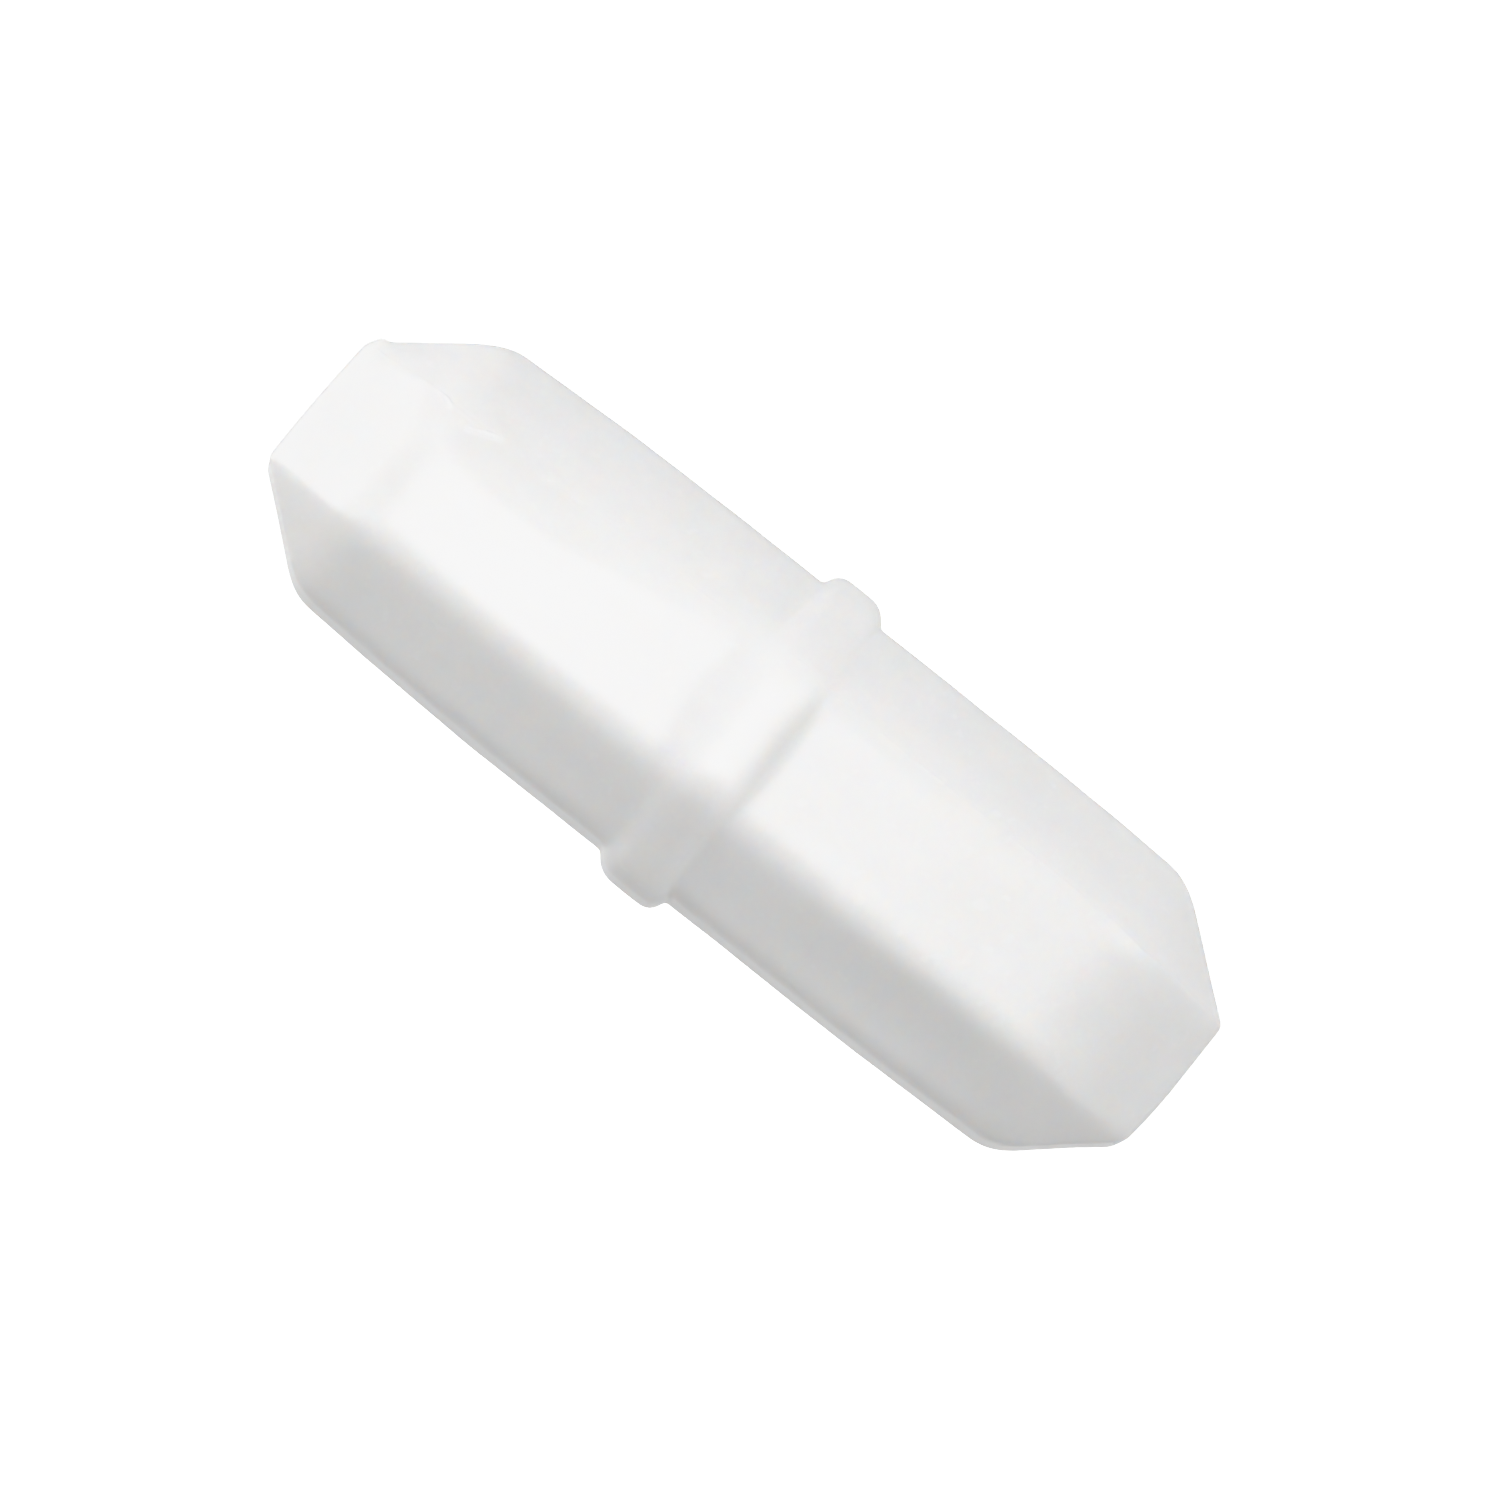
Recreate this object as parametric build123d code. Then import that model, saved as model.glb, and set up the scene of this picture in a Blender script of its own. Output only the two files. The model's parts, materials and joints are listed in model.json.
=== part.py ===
from build123d import *
import math
import os

# Octagonal magnetic stirring bar with an octagonal pivot ring, in millimetres.
# The bar lies along X. The origin is on the surface it stands on, under the middle of the ring.

# Nominal 1 in x 5/16 in bar
BAR_LENGTH = 25.4
ACROSS_FLATS = 7.9
FACET_WIDTH = 3.84          # the four wide facets; the four corner facets are narrower
END_WIDTH = 3.40            # the square end faces, before their edges are rounded
BEVEL_LENGTH = 2.55         # along the bar, at each end
EDGE_RADIUS = 0.45          # all outer edges of the moulded jacket

# Pivot ring
RING_ACROSS_FLATS = 8.78
RING_FLAT_WIDTH = 3.36      # round the bar, on the four wide flats
RING_TREAD = 1.33           # along the bar, before its edges are rounded
RING_WALL_TILT = 22         # degrees from square to the bar
RING_EDGE_RADIUS = 0.2

# Alnico core
MAGNET_DIAMETER = 5.0
MAGNET_LENGTH = 19.5
MAGNET_CHAMFER = 0.3
CORE_CLEARANCE = 0.02       # on every side of the magnet

AXIS_HEIGHT = RING_ACROSS_FLATS / 2
HALF_LENGTH = BAR_LENGTH / 2
FACET_APOTHEM = ACROSS_FLATS / 2
FACET_HALF = FACET_WIDTH / 2
CORNER_APOTHEM = (FACET_APOTHEM + FACET_HALF) / math.sqrt(2)
END_HALF = END_WIDTH / 2
END_CORNER_RADIUS = END_HALF * math.sqrt(2)
BEVEL_START = HALF_LENGTH - BEVEL_LENGTH
RING_APOTHEM = RING_ACROSS_FLATS / 2
RING_CORNER_APOTHEM = (RING_APOTHEM + RING_FLAT_WIDTH / 2) / math.sqrt(2)
QUARTER_TURN = 90
EIGHTH_TURN = 45

# The parting surface is drawn this many times as far out as the jacket's own surface
PARTING_REACH = 2.5


def outward_vector(turn):
    """Unit vector square to the bar's axis, turned from +Z towards +Y."""
    angle = math.radians(turn)
    return Vector(0, math.sin(angle), math.cos(angle))


def side_plane(turn, apothem, inset):
    """Plane along the bar at an apothem, moved in by the edge radius."""
    normal = outward_vector(turn)
    return Plane(origin=normal * (apothem - inset), z_dir=normal)


def bevel_plane(turn, end, apothem, end_radius):
    """Plane of a bevel that runs from a facet's apothem down to end_radius at the end face."""
    outward = outward_vector(turn)
    normal = (Vector(end * (apothem - end_radius), 0, 0) + outward * BEVEL_LENGTH).normalized()
    edge = Vector(end * HALF_LENGTH, 0, 0) + outward * end_radius
    return Plane(origin=edge - normal * EDGE_RADIUS, z_dir=normal)


def wall_plane(turn, side, apothem):
    """Plane of the ring's sloping wall on one flat, moved in by the ring's edge radius."""
    tilt = math.radians(RING_WALL_TILT)
    outward = outward_vector(turn)
    normal = Vector(side * math.cos(tilt), 0, 0) + outward * math.sin(tilt)
    edge = Vector(side * RING_TREAD / 2, 0, 0) + outward * apothem
    return Plane(origin=edge - normal * RING_EDGE_RADIUS, z_dir=normal)


def bar_planes():
    """All planes of the bar's outside, moved in by the edge radius."""
    planes = []
    for quarter in range(4):
        main_turn = quarter * QUARTER_TURN
        corner_turn = main_turn + EIGHTH_TURN
        planes.append(side_plane(main_turn, FACET_APOTHEM, EDGE_RADIUS))
        planes.append(side_plane(corner_turn, CORNER_APOTHEM, EDGE_RADIUS))
        for end in (-1, 1):
            planes.append(bevel_plane(main_turn, end, FACET_APOTHEM, END_HALF))
            planes.append(bevel_plane(corner_turn, end, CORNER_APOTHEM, END_CORNER_RADIUS))
    return planes


def ring_planes():
    """All planes of the ring's outside, moved in by its edge radius."""
    planes = []
    for quarter in range(4):
        main_turn = quarter * QUARTER_TURN
        flats = {main_turn: RING_APOTHEM, main_turn + EIGHTH_TURN: RING_CORNER_APOTHEM}
        for turn, apothem in flats.items():
            planes.append(side_plane(turn, apothem, RING_EDGE_RADIUS))
            for side in (-1, 1):
                planes.append(wall_plane(turn, side, apothem))
    return planes


def rounded_block(length, planes, radius):
    """Block cut by the planes, then grown by radius so that every edge is rounded."""
    core = Box(length, RING_ACROSS_FLATS, RING_ACROSS_FLATS)
    for plane in planes:
        core = split(core, bisect_by=plane, keep=Keep.BOTTOM)
    return offset(core, amount=radius, kind=Kind.ARC)


def octagonal_bar():
    """Octagonal bar with bevelled ends."""
    return rounded_block(BAR_LENGTH - 2 * EDGE_RADIUS, bar_planes(), EDGE_RADIUS)


def pivot_ring():
    """Octagonal ring with flat treads and sloping walls, solid to the bar's axis."""
    return rounded_block(2 * RING_TREAD, ring_planes(), RING_EDGE_RADIUS)


def rod(diameter, length):
    """Cylinder along X, centred on the bar's axis."""
    return Rot(0, QUARTER_TURN, 0) * Cylinder(diameter / 2, length)


def magnet_core():
    """Alnico rod with chamfered ends."""
    magnet = rod(MAGNET_DIAMETER, MAGNET_LENGTH)
    return chamfer(magnet.edges().filter_by(GeomType.CIRCLE), MAGNET_CHAMFER)


def parting_face(*points):
    return Face(Wire.make_polygon([Vector(*point) for point in points], close=True))


def parting_surface():
    """Surface between the half shells: it follows one facet edge out to the end face's corner."""
    reach = PARTING_REACH
    faces = []
    for side in (-1, 1):
        crest_y = side * reach * FACET_HALF
        crest_z = side * reach * FACET_APOTHEM
        corner_reach = side * reach * END_HALF
        faces.append(
            parting_face(
                (-BEVEL_START, 0, 0),
                (BEVEL_START, 0, 0),
                (BEVEL_START, crest_y, crest_z),
                (-BEVEL_START, crest_y, crest_z),
            )
        )
        for end in (-1, 1):
            hinge = (end * BEVEL_START, 0, 0)
            crest = (end * BEVEL_START, crest_y, crest_z)
            corner = (end * (BEVEL_START + reach * BEVEL_LENGTH), corner_reach, corner_reach)
            nose = (end * (BEVEL_START + reach * BEVEL_LENGTH), 0, 0)
            faces.append(parting_face(hinge, crest, corner))
            faces.append(parting_face(hinge, corner, nose))
    return Shell(faces)


def jacket_halves():
    """The two PTFE half shells, front (-Y) first."""
    cavity = rod(MAGNET_DIAMETER + 2 * CORE_CLEARANCE, MAGNET_LENGTH + 2 * CORE_CLEARANCE)
    jacket = octagonal_bar() + pivot_ring() - cavity
    halves = split(jacket, bisect_by=parting_surface(), keep=Keep.BOTH).solids()
    return halves.sort_by(Axis.Y)


def main():
    front, rear = jacket_halves()
    nodes = {
        "jacket_front": front,
        "jacket_rear": rear,
        "magnet_core": magnet_core(),
    }
    os.makedirs("parts", exist_ok=True)
    for name, solid in nodes.items():
        export_step(Pos(0, 0, AXIS_HEIGHT) * solid, f"parts/{name}.step")


main()
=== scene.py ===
import json
import math

import bpy
import numpy as np
from mathutils import Matrix, Vector


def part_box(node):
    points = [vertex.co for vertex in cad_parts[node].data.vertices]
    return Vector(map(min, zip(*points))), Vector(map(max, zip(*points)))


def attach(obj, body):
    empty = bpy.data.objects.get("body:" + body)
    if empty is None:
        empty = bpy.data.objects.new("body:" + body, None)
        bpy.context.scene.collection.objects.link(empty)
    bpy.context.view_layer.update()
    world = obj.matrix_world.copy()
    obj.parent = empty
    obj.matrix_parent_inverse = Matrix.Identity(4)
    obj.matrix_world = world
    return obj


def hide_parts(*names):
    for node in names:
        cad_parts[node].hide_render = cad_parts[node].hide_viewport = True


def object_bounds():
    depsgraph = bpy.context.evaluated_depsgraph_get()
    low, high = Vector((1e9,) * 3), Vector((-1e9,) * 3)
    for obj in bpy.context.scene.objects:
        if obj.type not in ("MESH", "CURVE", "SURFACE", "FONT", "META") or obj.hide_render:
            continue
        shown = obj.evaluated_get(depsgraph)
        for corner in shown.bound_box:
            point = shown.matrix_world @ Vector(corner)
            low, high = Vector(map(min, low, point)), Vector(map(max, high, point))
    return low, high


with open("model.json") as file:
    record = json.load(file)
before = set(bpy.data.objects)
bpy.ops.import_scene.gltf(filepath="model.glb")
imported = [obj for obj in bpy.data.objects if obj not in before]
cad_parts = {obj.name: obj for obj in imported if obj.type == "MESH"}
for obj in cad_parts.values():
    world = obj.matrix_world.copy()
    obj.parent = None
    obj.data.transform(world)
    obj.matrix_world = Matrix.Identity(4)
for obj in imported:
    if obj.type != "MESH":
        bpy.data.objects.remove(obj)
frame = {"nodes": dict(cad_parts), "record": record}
CAD_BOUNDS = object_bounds()

# Octagonal magnetic stirring bar with a pivot ring. The bar lies along X. Lengths in this script
# are millimetres until a mesh, lamp or camera is made. The jacket is worked out round the bar's
# axis and then lifted by AXIS_HEIGHT. Where a value has keys, -1 is towards -X and 1 towards +X.
MM = 0.001

# ---------------------------------------------------------------- the jacket's shape
BOX_LOW = [value / MM for value in CAD_BOUNDS[0]]
BOX_HIGH = [value / MM for value in CAD_BOUNDS[1]]
CORE_LOW, CORE_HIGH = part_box("magnet_core")
MOUNTS = {mount["name"]: mount for mount in frame["record"]["mounts"]}

AXIS_HEIGHT = (BOX_LOW[2] + BOX_HIGH[2]) / 2
HALF_LENGTH = (BOX_HIGH[0] - BOX_LOW[0]) / 2
RING_APOTHEM = (BOX_HIGH[2] - BOX_LOW[2]) / 2
FACET_APOTHEM = AXIS_HEIGHT - MOUNTS["lower_facet"]["pos_m"][2] / MM
FACET_HALF = 1.92
CORNER_APOTHEM = (FACET_APOTHEM + FACET_HALF) / math.sqrt(2)
CORNER_HALF = (FACET_APOTHEM - FACET_HALF) / math.sqrt(2)
BACK_CORNER, FRONT_CORNER = 1, 7    # places of the two upper corner facets in facets()
VERTEX_ANGLE = math.degrees(math.atan2(FACET_HALF, FACET_APOTHEM))

# The moulding's two sides differ a little, so the bevels change from -Y to +Y
BEVEL_START = 10.13
BEVEL_START_SWING = -0.20
END_HALF = 1.693
END_HALF_SWING = -0.063

# The facets are straight in the middle and draw in towards the bevels
CROWN_START = 4.6
CROWN_SPAN = 5.35
CROWN_POWER = 1.7
CROWN_DROP = {-1: 0.185, 1: 0.11}

# The end faces are not quite square to the bar
LEFT_END_CURVE = 0.012
LEFT_END_HIGH_POINT = -1.6
RIGHT_END_CURVE = 0.036

RING_FLAT_HALF = 1.68
RING_CORNER_APOTHEM = (RING_APOTHEM + RING_FLAT_HALF) / math.sqrt(2)
RING_CROWN = 0.03

# The ring's walls: half width at the tread, and tilt in degrees from square to the bar, each on
# the bar's -Y side, on its top and bottom, and on its +Y side
WALL_SIDES = (-1, 0, 1)
WALL_HALF = {-1: (0.77, 0.63, 0.70), 1: (0.70, 0.50, 0.56)}
WALL_TILT = {-1: (36, 60, 22), 1: (22, 38, 34)}

# How softly two surfaces meet: smooth_max adds a quarter of this on the edge
VERTEX_SOFTNESS = 0.42
BEVEL_EDGE_SOFTNESS = 0.083
CREASE_SOFTNESS = {-1: 0.298, 1: 0.34}
TOP_CREASE_EXTRA = {-1: 0.05, 1: 0.55}
END_EDGE_SOFTNESS = 0.134
RING_VERTEX_SOFTNESS = 0.42
TREAD_SOFTNESS = 0.28
RING_FOOT_SOFTNESS = 0.12
TOP_FOOT_EXTRA = {-1: 0.38, 1: 0.12}
TOP_SPREAD = 38                     # degrees either side of +Z that the extras at the top reach

# Wear along the upper parting line: middle and half length of the stretch, extra softness of
# the vertex, how far round the bar it reaches in degrees, and sink of the facet behind it
WORN_STRETCH = (-7.6, 3.6)
WORN_EXTRA = 0.85
WORN_SPREAD = 24
WORN_SINK = 0.2

# How far the front corner facet sinks along its middle: (middle, half length), depth
FRONT_SINKS = (((-6.0, 5.0), 0.05), ((7.0, 4.5), 0.16))

CAVITY_GAP = 0.02

# ---------------------------------------------------------------- the mesh's grid
# Each row is a fan of rays from one point of the axis. Between the hinges the rays are square to
# the axis, and past them they turn towards the end.
HINGE = 10.15
ROWS_BODY = 236
ROWS_END = 66
COLUMNS = 252
SPREAD_STEPS = 4001                 # samples for working out uneven spacings
MORPH_STEPS = 201

# Where the grid is finer: how much finer, place and width, in mm along X or in degrees. The
# columns' places are the bar's vertices.
ROWS_NEAR_RING_EDGE = (2.2, 0.72, 0.35)
ROWS_NEAR_CREASE = (0.6, HINGE, 0.9)
TILTS_NEAR_END_EDGE = (1.2, 51, 7)
TILTS_NEAR_HINGE = (0.3, 0, 12)
COLUMNS_NEAR_PARTING = (4.0, 1.4)
COLUMNS_NEAR_VERTEX = (0.9, 6)

CORNER_BEVEL_HALF = 5               # degrees that a corner bevel still spans at the end face
CAVITY_ROWS = 24
CAVITY_COLUMNS = 40
BISECTIONS = 34
SHORTEST_RAY = 0.3
LONGEST_RAY = 7.0
RING_REACH = HINGE / 2              # the ring is left out of the shape beyond this
TINY = 1e-6

# ---------------------------------------------------------------- the surface's small detail
# Slow unevenness. Each wave: share of the height, radians per mm, waves round the bar, phase
WAVE_HEIGHT = 0.012
WAVES = (
    (0.35, 0.62, 2, 0.4), (0.30, 1.31, -3, 1.7), (0.20, 2.17, 5, 2.9), (0.15, 3.90, -4, 0.8))

# Ridge on the parting lines. Its share of the full height is a mean and waves, each with its
# share, radians per mm and phase, held between the least and the most.
FLASH_HEIGHT = 0.008
FLASH_WIDTH = 0.045
FLASH_MEAN = 0.55
FLASH_WAVES = ((0.30, 1.9, 0.7), (0.20, 4.7, 2.1), (0.15, 11.3, 0.2))
FLASH_RANGE = (0.05, 1.0)
LOWER_FLASH_SHIFT = 3

# The small detail fades out before the end faces
FADE_END = 0.3
FADE_LENGTH = 0.5

# Torn flash beside the parting line, on the -X half: place along the bar, distance
# from the line towards +Y, half length, half width, slope against the bar, height
TORN_FLASH = [
    (-10.46, 0.00, 0.08, 0.05, 0.0, 0.04),
    (-10.20, -0.02, 0.15, 0.08, -0.3, 0.06),
    (-9.05, -0.05, 0.34, 0.07, 0.45, 0.065),
    (-9.42, -0.22, 0.12, 0.08, 0.3, 0.05),
    (-7.26, 0.00, 0.13, 0.05, 0.2, 0.03),
    (-6.46, 0.02, 0.10, 0.05, 0.2, 0.02),
]
FULL_WEAR_AND_HIGHLIGHT = 0.04                    # torn flash this high is fully worn in the material, where it is painted whiter, partly as a painted highlight

# Stub of flash at one corner of the -X end face
NUB_CENTRE = (-12.28, 1.84, 1.80)
NUB_RADIUS = 0.2
NUB_LEAN = (-0.04, 0.13, 0.09)


def smooth_max(fields, softness):
    """Maximum of several fields, rounded where the two largest are close."""
    top = np.partition(np.stack(fields), -2, axis=0)[-2:]
    closeness = np.maximum(softness - (top[1] - top[0]), 0) / softness
    return top[1] + closeness ** 2 * softness / 4


def smooth_min(first, second, softness):
    """Minimum of two fields, rounded where they are close."""
    return -smooth_max([-first, -second], softness)


def bump_at(value, centre, width):
    """Bell that is 1 at its centre."""
    return np.exp(-((value - centre) / width) ** 2)


def over_top(y, z):
    """1 over the top facet, with a soft edge TOP_SPREAD degrees either side of it."""
    return bump_at((np.degrees(np.arctan2(y, z)) / TOP_SPREAD) ** 2, 0, 1)


def crown(x):
    """How far the facets draw in at x."""
    beyond = np.maximum(np.abs(x) - CROWN_START, 0) / CROWN_SPAN
    drop = np.where(x < 0, CROWN_DROP[-1], CROWN_DROP[1])
    return drop * beyond ** CROWN_POWER


def facets():
    """Turn, apothem and diagonal factor of the eight long facets."""
    for quarter in range(4):
        yield math.radians(90 * quarter), FACET_APOTHEM, 1
        yield math.radians(90 * quarter + 45), CORNER_APOTHEM, math.sqrt(2)


def side_field(x, y, z):
    """The eight facets, with sunk corner facets and rounder vertices on the worn stretch."""
    fields = []
    for turn, apothem, _ in facets():
        reach = y * math.sin(turn) + z * math.cos(turn)
        fields.append(reach - apothem + crown(x))
    across = (y + z) / (math.sqrt(2) * CORNER_HALF)
    fields[BACK_CORNER] += WORN_SINK * bump_at(x, *WORN_STRETCH)
    for stretch, depth in FRONT_SINKS:
        fields[FRONT_CORNER] += depth * bump_at(x, *stretch) * np.maximum(1 - across ** 2, 0)
    off_parting = np.degrees(np.arctan(np.tan(np.arctan2(y, z) - math.radians(VERTEX_ANGLE))))
    worn = WORN_EXTRA * bump_at(x, *WORN_STRETCH) * bump_at(off_parting, 0, WORN_SPREAD)
    return smooth_max(fields, VERTEX_SOFTNESS + worn)


def bevel_field(x, y, z, end):
    """The eight bevels at one end, each from its facet down to the end face's edge."""
    fields = []
    for turn, apothem, diagonal in facets():
        start = BEVEL_START + BEVEL_START_SWING * math.sin(turn)
        end_reach = (END_HALF + END_HALF_SWING * math.sin(turn)) * diagonal
        start_reach = apothem - float(crown(np.array(end * start)))
        length = math.hypot(start_reach - end_reach, HALF_LENGTH - start)
        along = (start_reach - end_reach) / length
        outward = (HALF_LENGTH - start) / length
        reach = y * math.sin(turn) + z * math.cos(turn)
        fields.append(along * (end * x - HALF_LENGTH) + outward * (reach - end_reach))
    return smooth_max(fields, BEVEL_EDGE_SOFTNESS)


def end_field(x, y, end):
    """The end face, which curves back a little."""
    if end < 0:
        curve = LEFT_END_CURVE * (y - LEFT_END_HIGH_POINT) ** 2
    else:
        curve = RIGHT_END_CURVE * np.minimum(y, 0) ** 2
    return end * x - HALF_LENGTH + curve


def ring_field(x, y, z):
    """The octagonal ring: its height is measured from its own flats."""
    flats = []
    for turn, apothem, _ in facets():
        ring_apothem = RING_APOTHEM if apothem == FACET_APOTHEM else RING_CORNER_APOTHEM
        flats.append(y * math.sin(turn) + z * math.cos(turn) - ring_apothem)
    level = smooth_max(flats, RING_VERTEX_SOFTNESS)
    side = y / np.maximum(np.hypot(y, z), TINY)
    fields = [level + RING_CROWN * x ** 2]
    for end in (-1, 1):
        half = np.interp(side, WALL_SIDES, WALL_HALF[end])
        tilt = np.radians(np.interp(side, WALL_SIDES, WALL_TILT[end]))
        fields.append((end * x - half) * np.cos(tilt) + level * np.sin(tilt))
    return smooth_max(fields, TREAD_SOFTNESS)


def jacket_field(x, y, z):
    """Below zero inside the jacket's outside surface."""
    bar = side_field(x, y, z)
    for end in (-1, 1):
        bevels = bevel_field(x, y, z, end)
        crease = CREASE_SOFTNESS[end] + TOP_CREASE_EXTRA[end] * over_top(y, z)
        cut = smooth_max([bar, bevels], crease)
        capped = smooth_max([cut, end_field(x, y, end)], END_EDGE_SOFTNESS)
        bar = np.where(end * x > 0, capped, bar)
    ring = ring_field(x, y, z)
    extra = np.where(x < 0, TOP_FOOT_EXTRA[-1], TOP_FOOT_EXTRA[1])
    foot = RING_FOOT_SOFTNESS + extra * over_top(y, z)
    return np.where(np.abs(x) < RING_REACH, smooth_min(bar, ring, foot), bar)


def spread(low, high, count, density):
    """count + 1 values from low to high, closer together where density is larger."""
    fine = np.linspace(low, high, SPREAD_STEPS)
    total = np.concatenate([[0], np.cumsum((density(fine[1:]) + density(fine[:-1])) / 2)])
    return np.interp(np.linspace(0, total[-1], count + 1), total, fine)


def finer(value, extra, centre, width):
    """Extra density round one place."""
    return extra * bump_at(value, centre, width)


def row_table():
    """Each row's ray origin along X, and its tilt towards an end, from pole to pole."""
    body = spread(-HINGE, HINGE, ROWS_BODY, lambda x: (
        1 + finer(np.abs(x), *ROWS_NEAR_RING_EDGE) + finer(np.abs(x), *ROWS_NEAR_CREASE)))
    tilt = spread(0, 90, ROWS_END, lambda angle: (
        1 + finer(angle, *TILTS_NEAR_END_EDGE) + finer(angle, *TILTS_NEAR_HINGE)))
    origins = np.concatenate([np.full(ROWS_END, -HINGE), body, np.full(ROWS_END, HINGE)])
    tilts = np.concatenate([-tilt[:0:-1], np.zeros(ROWS_BODY + 1), tilt[1:]])
    return origins, tilts


def column_table():
    """Body angles of the columns, all the way round from the upper parting line."""
    def density(angle):
        value = np.ones_like(angle)
        extra, width = COLUMNS_NEAR_PARTING
        for turn in (0, 180, 360):
            value = value + finer(angle, extra, VERTEX_ANGLE + turn, width)
        extra, width = COLUMNS_NEAR_VERTEX
        for quarter in range(5):
            for side in (-VERTEX_ANGLE, VERTEX_ANGLE):
                value = value + finer(angle, extra, 90 * quarter + side, width)
        return value

    return spread(VERTEX_ANGLE, VERTEX_ANGLE + 360, COLUMNS, density)


def end_angles(angles):
    """Where each column's angle goes at the end face, whose corners are at 45 degrees."""
    vertices, targets = [], []
    for quarter in range(5):
        for side in (-1, 1):
            turn = 90 * quarter + side * VERTEX_ANGLE
            on_parting = side > 0 and quarter % 2 == 0
            vertices.append(turn)
            targets.append(90 * quarter + side * (45 if on_parting else 45 - CORNER_BEVEL_HALF))
    return np.interp(angles, vertices, targets)


def morph(tilts):
    """Share of the way from the body angle to the end angle, along the parting line."""
    step = np.linspace(0, 1, MORPH_STEPS)
    across = FACET_HALF + (END_HALF - FACET_HALF) * step
    up = FACET_APOTHEM + (END_HALF - FACET_APOTHEM) * step
    forward = (HALF_LENGTH - HINGE) * step
    tilt = np.degrees(np.arctan2(forward, np.hypot(across, up)))
    share = (np.degrees(np.arctan2(across, up)) - VERTEX_ANGLE) / (45 - VERTEX_ANGLE)
    return np.interp(np.abs(tilts), tilt, share)


def surface_points(origins, tilts, angles):
    """Starts and directions of the rays, and how far along each the jacket's outside is."""
    forward = np.sin(np.radians(tilts))[:, None] * np.ones_like(angles)
    outward = np.cos(np.radians(tilts))[:, None]
    across = outward * np.sin(np.radians(angles))
    up = outward * np.cos(np.radians(angles))
    start = origins[:, None] * np.ones_like(angles)
    low = np.full_like(start, SHORTEST_RAY)
    high = np.full_like(start, LONGEST_RAY)
    for _ in range(BISECTIONS):
        middle = (low + high) / 2
        inside = jacket_field(start + forward * middle, across * middle, up * middle) < 0
        low = np.where(inside, middle, low)
        high = np.where(inside, high, middle)
    reach = (low + high) / 2
    return start, forward, across, up, reach


def waviness(x, angle):
    """Slow unevenness of the sintered surface, from -1 to 1."""
    turn = np.radians(angle)
    return sum(
        height * np.sin(along * x + around * turn + phase)
        for height, along, around, phase in WAVES)


def flash_height(x):
    """Share of its full height that the parting line's ridge has at x."""
    waves = (height * np.sin(along * x + phase) for height, along, phase in FLASH_WAVES)
    return np.clip(sum(waves, FLASH_MEAN), *FLASH_RANGE)


def torn_flash(x, offset):
    """Height of the torn flash, at x and at a distance from the upper parting line."""
    height = np.zeros_like(x)
    for centre, side, long_half, wide_half, slope, proud in TORN_FLASH:
        along = (x - centre) * math.cos(slope) + (offset - side) * math.sin(slope)
        aside = (offset - side) * math.cos(slope) - (x - centre) * math.sin(slope)
        shape = np.exp(-(along / long_half) ** 4 - (aside / wide_half) ** 2)
        height = np.maximum(height, proud * shape)
    return height


def end_nub(points):
    """How far the stub of flash pulls each point out of the end face's corner."""
    distance = np.linalg.norm(points - np.array(NUB_CENTRE), axis=-1)
    return bump_at(distance, 0, NUB_RADIUS)[..., None] * np.array(NUB_LEAN)


def parting_offset(body_angles, radius):
    """Signed distances along the surface from the upper and the lower parting line."""
    upper = (body_angles - VERTEX_ANGLE + 180) % 360 - 180
    lower = (body_angles - VERTEX_ANGLE) % 360 - 180
    return np.radians(upper) * radius, np.radians(lower) * radius


def outside_grid():
    """Outside points of the jacket, row by row, and how worn the surface is at each: the
    material paints torn flash whiter, partly as a painted highlight.
    """
    origins, tilts = row_table()
    body_angles = column_table()[:-1]
    share = morph(tilts)[:, None]
    angles = body_angles * (1 - share) + end_angles(body_angles) * share
    start, forward, across, up, reach = surface_points(origins, tilts, angles)
    x = start + forward * reach
    radius = np.hypot(across, up) * reach
    upper, lower = parting_offset(np.broadcast_to(body_angles, x.shape), radius)
    fade = np.clip((HALF_LENGTH - FADE_END - np.abs(x)) / FADE_LENGTH, 0, 1)
    ridge = flash_height(x) * bump_at(upper, 0, FLASH_WIDTH)
    ridge += flash_height(-x - LOWER_FLASH_SHIFT) * bump_at(lower, 0, FLASH_WIDTH)
    torn = torn_flash(x, upper)
    reach = reach + WAVE_HEIGHT * (waviness(x, angles) - 1) * fade
    reach = reach + FLASH_HEIGHT * ridge * fade + torn
    points = np.stack([start + forward * reach, across * reach, up * reach], axis=-1)
    points = points + end_nub(points)
    return points, np.clip(torn / FULL_WEAR_AND_HIGHLIGHT, 0, 1)


def cavity_grid():
    """The magnet's cavity: a closed can, a little larger than the core."""
    radius = (CORE_HIGH[2] - CORE_LOW[2]) / 2 / MM + CAVITY_GAP
    half = (CORE_HIGH[0] - CORE_LOW[0]) / 2 / MM + CAVITY_GAP
    steps = np.linspace(-half, half, CAVITY_ROWS + 1)
    wall = np.full(len(steps), radius)
    x = np.concatenate([[-half, -half], steps, [half, half]])[:, None]
    rim = np.concatenate([[0, radius / 2], wall, [radius / 2, 0]])[:, None]
    angles = np.radians(np.arange(CAVITY_COLUMNS) * 360 / CAVITY_COLUMNS)
    return np.stack([x + 0 * angles, rim * np.sin(angles), rim * np.cos(angles)], axis=-1)


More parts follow.
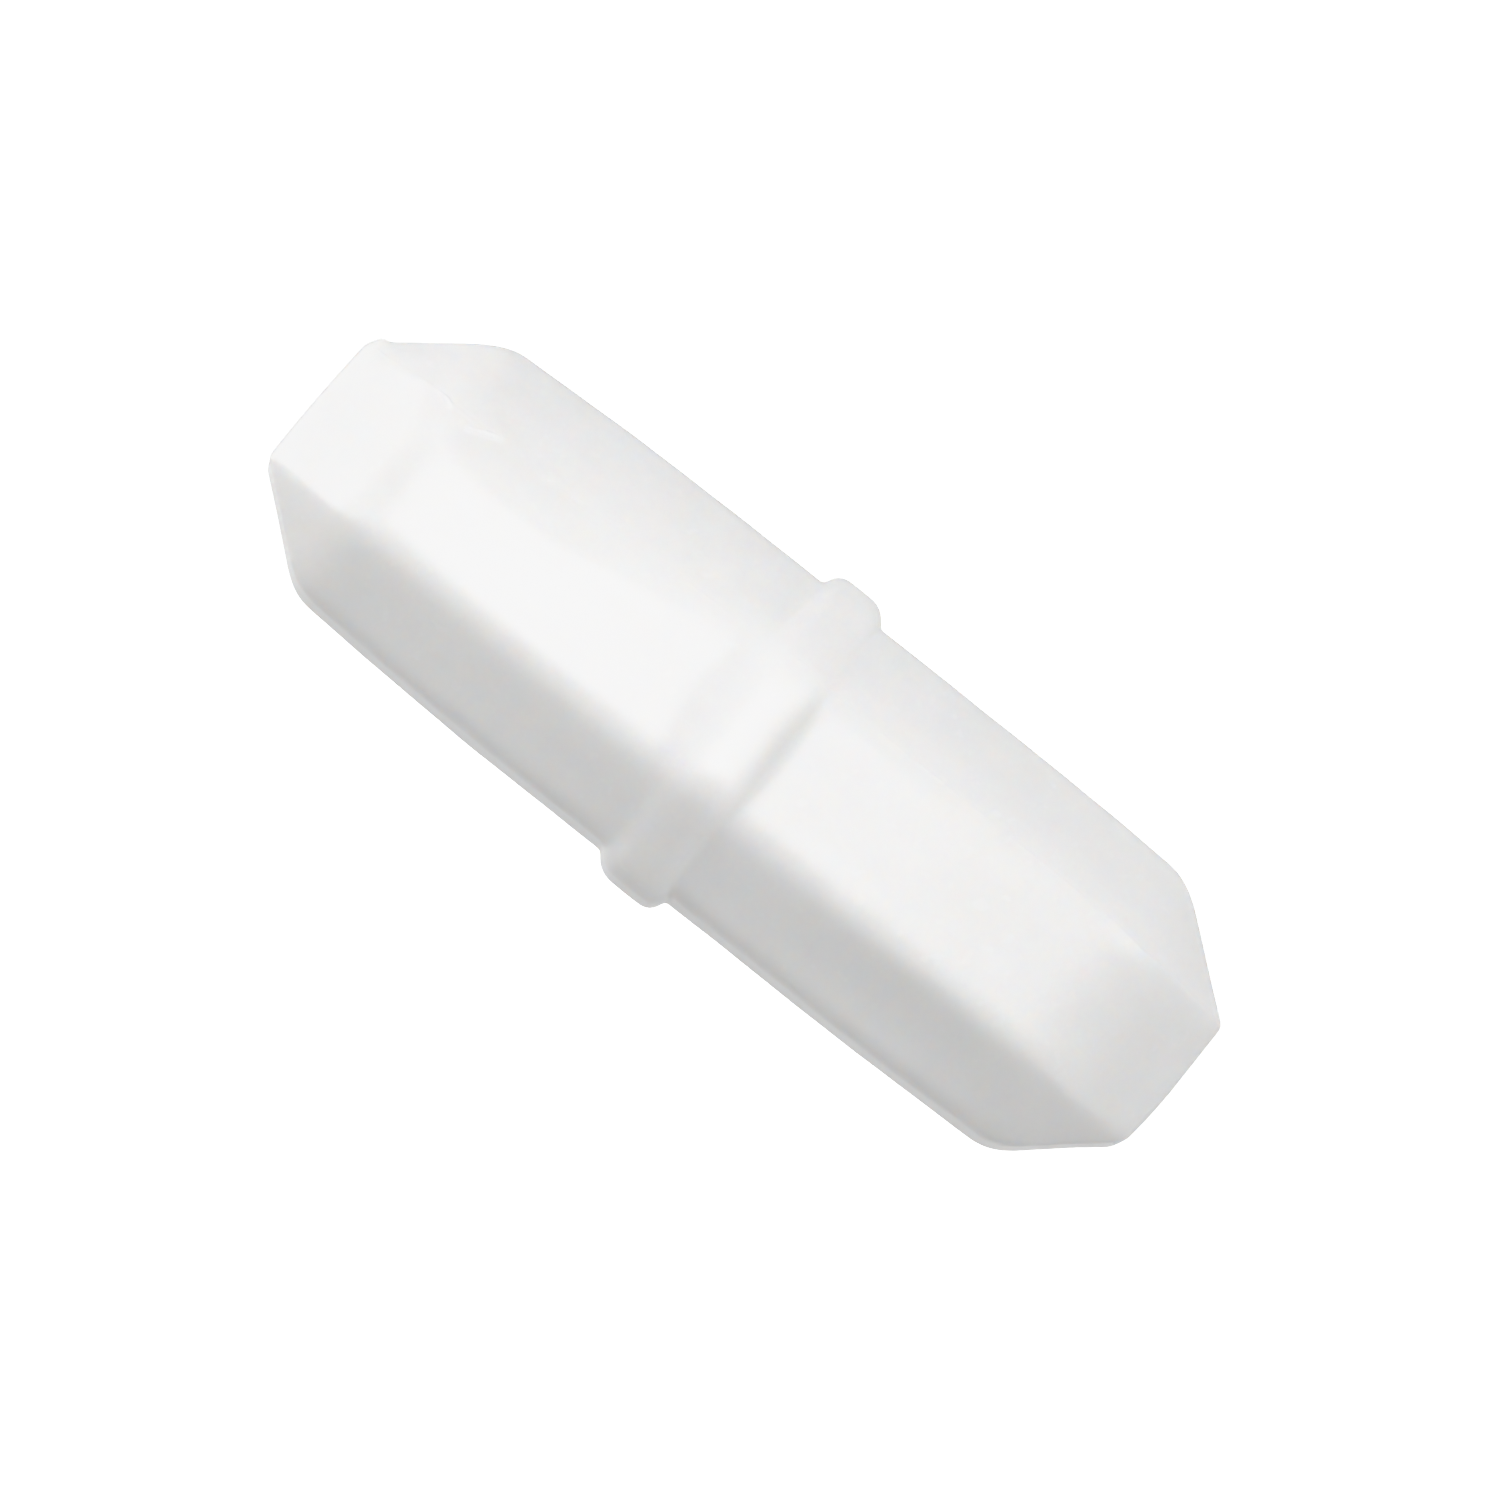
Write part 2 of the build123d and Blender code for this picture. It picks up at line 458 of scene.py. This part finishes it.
def add_closed_net(grid, wear_and_highlight, flip, points, worn, faces):
    """Adds rings of points, of which the first and last are each drawn in to a single pole."""
    index = []
    for row, ring in enumerate(grid):
        if row in (0, len(grid) - 1):
            points.append(ring.mean(axis=0))
            worn.append(0.0)
            index.append([len(points) - 1] * len(ring))
            continue
        first = len(points)
        points.extend(ring)
        worn.extend(float(amount) for amount in wear_and_highlight[row])
        index.append(list(range(first, first + len(ring))))
    for near, far in zip(index, index[1:]):
        for column, (one, two) in enumerate(zip(near, far)):
            after = (column + 1) % len(near)
            corners = list(dict.fromkeys([one, near[after], far[after], two]))
            faces.append(corners[::-1] if flip else corners)


def linked_object(name, data):
    """New object for a mesh, lamp or camera, in the scene."""
    thing = bpy.data.objects.new(name, data)
    bpy.context.scene.collection.objects.link(thing)
    return thing


def smooth_object(name, points, faces):
    """Smoothly shaded mesh object from points in metres."""
    mesh = bpy.data.meshes.new(name)
    mesh.from_pydata(points, [], faces)
    mesh.validate()
    mesh.polygons.foreach_set("use_smooth", [True] * len(mesh.polygons))
    return linked_object(name, mesh)


def jacket_shell(name):
    """Closed mesh of the jacket with its pivot ring, hollow where the magnet lies."""
    outside, wear_and_highlight = outside_grid()
    cavity = cavity_grid()
    points, worn, faces = [], [], []
    add_closed_net(outside, wear_and_highlight, True, points, worn, faces)
    add_closed_net(cavity, np.zeros(cavity.shape[:2]), False, points, worn, faces)
    lifted = (np.array(points) + np.array((0, 0, AXIS_HEIGHT))) * MM
    piece = smooth_object(name, lifted.tolist(), faces)
    # Share of torn flash at each point, which the material paints whiter, partly as a painted
    # highlight
    piece.data.attributes.new("wear_and_highlight", "FLOAT", "POINT").data.foreach_set("value", worn)
    return piece


# ---------------------------------------------------------------- materials
PTFE_SHADES = ((0.905, 0.902, 0.895, 1), (0.945, 0.943, 0.938, 1))
PTFE_SPECK = (0.97, 0.97, 0.965, 1)
# Colour of torn flash: partly the torn PTFE's own whiter colour, partly a painted highlight for
# the glints on it
PTFE_TORN_HIGHLIGHT = (0.99, 0.99, 0.985, 1)
PTFE_IOR = 1.38
PTFE_ROUGHNESS = (0.32, 0.42)
TORN_SMOOTHER = -0.22               # added to the roughness of torn flash
TORN_CLEARNESS = 0.1                # subsurface weight of torn flash, where the rest has 1
SCATTER_RADIUS = (1.0, 0.9, 0.8)
SCATTER_DEPTH = 0.7
ALNICO_SHADES = ((0.27, 0.26, 0.25, 1), (0.39, 0.38, 0.37, 1))
ALNICO_ROUGHNESS = (0.42, 0.62)
FLOOR_SHADES = ((0.49, 0.49, 0.49, 1), (0.51, 0.51, 0.51, 1))
FLOOR_ROUGHNESS = 0.9
FLOOR_GLOW = 3.0

# Sockets of a Mix node that is set to colours
MIX_FACTOR, MIX_FIRST, MIX_SECOND, MIX_RESULT = 0, 6, 7, 2


def new_material(name):
    material = bpy.data.materials.new(name)
    material.use_nodes = True
    nodes, links = material.node_tree.nodes, material.node_tree.links
    return material, nodes, links, nodes["Principled BSDF"]


def stretched_noise(nodes, links, scale, detail=3.0, roughness=0.5):
    """Noise in object space, with its own scale along X, Y and Z (per metre)."""
    place = nodes.new("ShaderNodeTexCoord")
    mapping = nodes.new("ShaderNodeMapping")
    mapping.inputs["Scale"].default_value = scale
    noise = nodes.new("ShaderNodeTexNoise")
    noise.inputs["Scale"].default_value = 1.0
    noise.inputs["Detail"].default_value = detail
    noise.inputs["Roughness"].default_value = roughness
    links.new(place.outputs["Object"], mapping.inputs["Vector"])
    links.new(mapping.outputs["Vector"], noise.inputs["Vector"])
    return noise.outputs["Fac"]


def ranged(nodes, links, value, low, high, to_low, to_high):
    """value carried over from one range to another, and held at its ends."""
    node = nodes.new("ShaderNodeMapRange")
    node.inputs["From Min"].default_value = low
    node.inputs["From Max"].default_value = high
    node.inputs["To Min"].default_value = to_low
    node.inputs["To Max"].default_value = to_high
    links.new(value, node.inputs["Value"])
    return node.outputs["Result"]


def mixed(nodes, links, factor, first, second):
    """Colour mix; first and second are colours or sockets."""
    node = nodes.new("ShaderNodeMix")
    node.data_type = "RGBA"
    links.new(factor, node.inputs[MIX_FACTOR])
    for place, value in ((MIX_FIRST, first), (MIX_SECOND, second)):
        if isinstance(value, tuple):
            node.inputs[place].default_value = value
        else:
            links.new(value, node.inputs[place])
    return node.outputs[MIX_RESULT]


def layer_value(nodes, name):
    """Value that the mesh holds at each vertex under this name."""
    node = nodes.new("ShaderNodeAttribute")
    node.attribute_name = name
    return node.outputs["Fac"]


def bumped(nodes, links, height, distance, strength, below=None):
    """Bump of height over distance in metres, on top of the normal below it."""
    node = nodes.new("ShaderNodeBump")
    node.inputs["Distance"].default_value = distance
    node.inputs["Strength"].default_value = strength
    links.new(height, node.inputs["Height"])
    if below is not None:
        links.new(below, node.inputs["Normal"])
    return node.outputs["Normal"]


def ptfe_material():
    """Sintered PTFE: waxy, faintly mottled white with fine skiving marks along the bar."""
    material, nodes, links, shader = new_material("ptfe_waxy_white")
    shader.inputs["IOR"].default_value = PTFE_IOR
    shader.inputs["Subsurface Radius"].default_value = SCATTER_RADIUS
    shader.inputs["Subsurface Scale"].default_value = SCATTER_DEPTH * MM
    cloud = stretched_noise(nodes, links, (260, 420, 420), detail=4.0, roughness=0.55)
    grain = stretched_noise(nodes, links, (5200, 5200, 5200), detail=3.0, roughness=0.6)
    marks = stretched_noise(nodes, links, (240, 5200, 5200), detail=2.0, roughness=0.6)
    specks = stretched_noise(nodes, links, (2600, 2600, 2600), detail=1.0, roughness=0.5)
    wear_and_highlight = layer_value(nodes, "wear_and_highlight")
    tone = ranged(nodes, links, cloud, 0.30, 0.70, 0.0, 1.0)
    base = mixed(nodes, links, tone, *PTFE_SHADES)
    pale = ranged(nodes, links, specks, 0.66, 0.74, 0.0, 0.35)
    base = mixed(nodes, links, pale, base, PTFE_SPECK)
    # Torn flash painted whiter: partly the torn PTFE's own colour, partly a painted highlight
    base = mixed(nodes, links, wear_and_highlight, base, PTFE_TORN_HIGHLIGHT)
    links.new(base, shader.inputs["Base Color"])
    clear = ranged(nodes, links, wear_and_highlight, 0.0, 1.0, 1.0, TORN_CLEARNESS)
    links.new(clear, shader.inputs["Subsurface Weight"])
    rough = ranged(nodes, links, marks, 0.3, 0.7, *PTFE_ROUGHNESS)
    smooth = ranged(nodes, links, wear_and_highlight, 0.0, 1.0, 0.0, TORN_SMOOTHER)
    total = nodes.new("ShaderNodeMath")
    total.operation = "ADD"
    links.new(rough, total.inputs[0])
    links.new(smooth, total.inputs[1])
    links.new(total.outputs[0], shader.inputs["Roughness"])
    normal = bumped(nodes, links, grain, distance=4e-6, strength=0.5)
    normal = bumped(nodes, links, marks, distance=1.5e-6, strength=0.5, below=normal)
    normal = bumped(nodes, links, cloud, distance=4e-5, strength=0.4, below=normal)
    links.new(normal, shader.inputs["Normal"])
    return material


def alnico_material():
    """Cast magnet alloy with ground marks round it."""
    material, nodes, links, shader = new_material("alnico_cast_grey")
    shader.inputs["Metallic"].default_value = 1.0
    grain = stretched_noise(nodes, links, (2400, 2400, 2400), detail=5.0, roughness=0.6)
    rings = stretched_noise(nodes, links, (6000, 300, 300), detail=2.0, roughness=0.5)
    tone = ranged(nodes, links, grain, 0.35, 0.65, 0.0, 1.0)
    links.new(mixed(nodes, links, tone, *ALNICO_SHADES), shader.inputs["Base Color"])
    rough = ranged(nodes, links, rings, 0.3, 0.7, *ALNICO_ROUGHNESS)
    links.new(rough, shader.inputs["Roughness"])
    normal = bumped(nodes, links, rings, distance=1e-5, strength=0.5)
    normal = bumped(nodes, links, grain, distance=2e-5, strength=0.5, below=normal)
    links.new(normal, shader.inputs["Normal"])
    return material


def floor_material():
    """Pale backdrop that glows, so that it reads as plain white."""
    material, nodes, links, shader = new_material("pale_floor")
    grain = stretched_noise(nodes, links, (900, 900, 900), detail=3.0, roughness=0.5)
    tone = ranged(nodes, links, grain, 0.3, 0.7, 0.0, 1.0)
    links.new(mixed(nodes, links, tone, *FLOOR_SHADES), shader.inputs["Base Color"])
    shader.inputs["Roughness"].default_value = FLOOR_ROUGHNESS
    shader.inputs["Emission Color"].default_value = (1, 1, 1, 1)
    shader.inputs["Emission Strength"].default_value = FLOOR_GLOW
    return material


# ---------------------------------------------------------------- stage
FLOOR_HALF = 1500
FLOOR_CELLS = 60
SWEEP_START = 650
SWEEP_CURVE = 1 / 700

# The light that a white table sends up, and how sharply it ends at the horizon
TABLE_LIGHT = 0.94
HORIZON = 0.02

# Soft lamps: direction from the bar, distance, diameter, power in watts
LAMPS = {
    "overhead": ((0, 0.1, 1), 300, 40, 0.103),
    "near_overhead": ((-0.2, 0, 1), 60, 20, 0.0135),
    "upper_right": ((0.3, 0, 1), 200, 40, 0.043),
    "back_right": ((0.6, 0.6, 1), 260, 130, 0.22),
    "low_left": ((-1, 0, 0.1), 260, 130, 0.24),
}

# Scene brightness and the brightness it is shown with, on the curve for all three colours
COMBINED_CURVE = 3
SHOULDER = (
    (0, 0), (0.30, 0.30), (0.60, 0.60), (0.75, 0.77), (0.85, 0.88), (0.92, 0.92), (1.0, 0.933),
    (1.2, 0.943), (1.45, 1.0))

# The camera looks down on the bar, tilted a little from +Z and turned so that the bar slopes. It
# aims beside the bar's middle by these distances along and across it.
CAMERA_DISTANCE = 400
CAMERA_LENS = 415
CAMERA_CLIP = (10, 5000)
CAMERA_TILT = math.radians(4.0)
BAR_SLOPE = math.radians(38.5)
AIM_ALONG = 0.20
AIM_ACROSS = -0.04


def make_floor():
    """White sheet under the bar that sweeps up far away. Only the camera sees it."""
    steps = np.linspace(-FLOOR_HALF, FLOOR_HALF, FLOOR_CELLS + 1)
    points, faces = [], []
    for y in steps:
        for x in steps:
            rise = max(math.hypot(x, y) - SWEEP_START, 0) ** 2 * SWEEP_CURVE
            points.append((x * MM, y * MM, (BOX_LOW[2] + rise) * MM))
    for row in range(FLOOR_CELLS):
        for column in range(FLOOR_CELLS):
            corner = row * (FLOOR_CELLS + 1) + column
            above = corner + FLOOR_CELLS + 1
            faces.append((corner, corner + 1, above + 1, above))
    floor = smooth_object("floor", points, faces)
    floor.data.materials.append(floor_material())
    floor.visible_diffuse = False
    floor.visible_glossy = False
    floor.visible_shadow = False


def aim(holder, position, target, up_hint):
    """Turns a lamp at position so that it points at target."""
    back = (position - target).normalized()
    right = up_hint.cross(back).normalized()
    holder.matrix_world = Matrix((
        (*right,), (*back.cross(right),), (*back,))).transposed().to_4x4()
    holder.location = position


def area_lamp(name, direction, distance, size, power):
    """Round lamp that points at the bar's middle."""
    lamp = bpy.data.lights.new(name, "AREA")
    lamp.shape = "DISK"
    lamp.size = size * MM
    lamp.energy = power
    holder = linked_object(name, lamp)
    target = Vector((0, 0, AXIS_HEIGHT * MM))
    position = target + Vector(direction).normalized() * distance * MM
    aim(holder, position, target, Vector((0, 1, 0)))


def make_lights():
    """The lamps, and a world that glows only from below, as a white table does."""
    for name, (direction, distance, size, power) in LAMPS.items():
        area_lamp(name, direction, distance, size, power)
    world = bpy.data.worlds.new("studio")
    world.use_nodes = True
    nodes, links = world.node_tree.nodes, world.node_tree.links
    background = nodes["Background"]
    background.inputs["Color"].default_value = (1, 1, 1, 1)
    place = nodes.new("ShaderNodeTexCoord")
    parts = nodes.new("ShaderNodeSeparateXYZ")
    links.new(place.outputs["Generated"], parts.inputs["Vector"])
    glow = ranged(nodes, links, parts.outputs["Z"], -HORIZON, HORIZON, TABLE_LIGHT, 0)
    links.new(glow, background.inputs["Strength"])
    bpy.context.scene.world = world


def make_camera():
    """Long lens nearly above the bar, turned so that the bar runs down to the right."""
    across = Vector((0, math.cos(CAMERA_TILT), math.sin(CAMERA_TILT)))
    along = Vector((1, 0, 0))
    back = along.cross(across)
    right = along * math.cos(BAR_SLOPE) + across * math.sin(BAR_SLOPE)
    up = -along * math.sin(BAR_SLOPE) + across * math.cos(BAR_SLOPE)
    lens = bpy.data.cameras.new("camera")
    lens.lens = CAMERA_LENS
    lens.clip_start, lens.clip_end = (distance * MM for distance in CAMERA_CLIP)
    camera = linked_object("camera", lens)
    target = Vector((0, 0, AXIS_HEIGHT)) + along * AIM_ALONG + across * AIM_ACROSS
    place = (target + back * CAMERA_DISTANCE) * MM
    turn = Matrix((right, up, back)).transposed().to_4x4()
    camera.matrix_world = Matrix.Translation(place) @ turn
    bpy.context.scene.camera = camera


def set_view_transform():
    """Standard colours, with a soft shoulder so that the highlights stay just below white."""
    view = bpy.context.scene.view_settings
    view.view_transform = "Standard"
    view.look = "None"
    view.use_curve_mapping = True
    view.curve_mapping.clip_max_x = SHOULDER[-1][0]
    view.curve_mapping.clip_max_y = SHOULDER[-1][1]
    curve = view.curve_mapping.curves[COMBINED_CURVE]
    curve.points[0].location = SHOULDER[0]
    curve.points[-1].location = SHOULDER[-1]
    for brightness, shown in SHOULDER[1:-1]:
        curve.points.new(brightness, shown)
    view.curve_mapping.update()


def make_jacket():
    """One fused jacket in place of the two half shells."""
    jacket = jacket_shell("jacket_shell")
    jacket.data.materials.append(ptfe_material())
    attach(jacket, "root")
    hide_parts("jacket_front", "jacket_rear")


def finish_core():
    """The magnet is the CAD node with its own material."""
    alnico = alnico_material()
    for holder in frame["nodes"]["magnet_core"].material_slots:
        holder.material = alnico


def main():
    make_camera()
    set_view_transform()
    make_lights()
    make_floor()
    make_jacket()
    finish_core()


main()
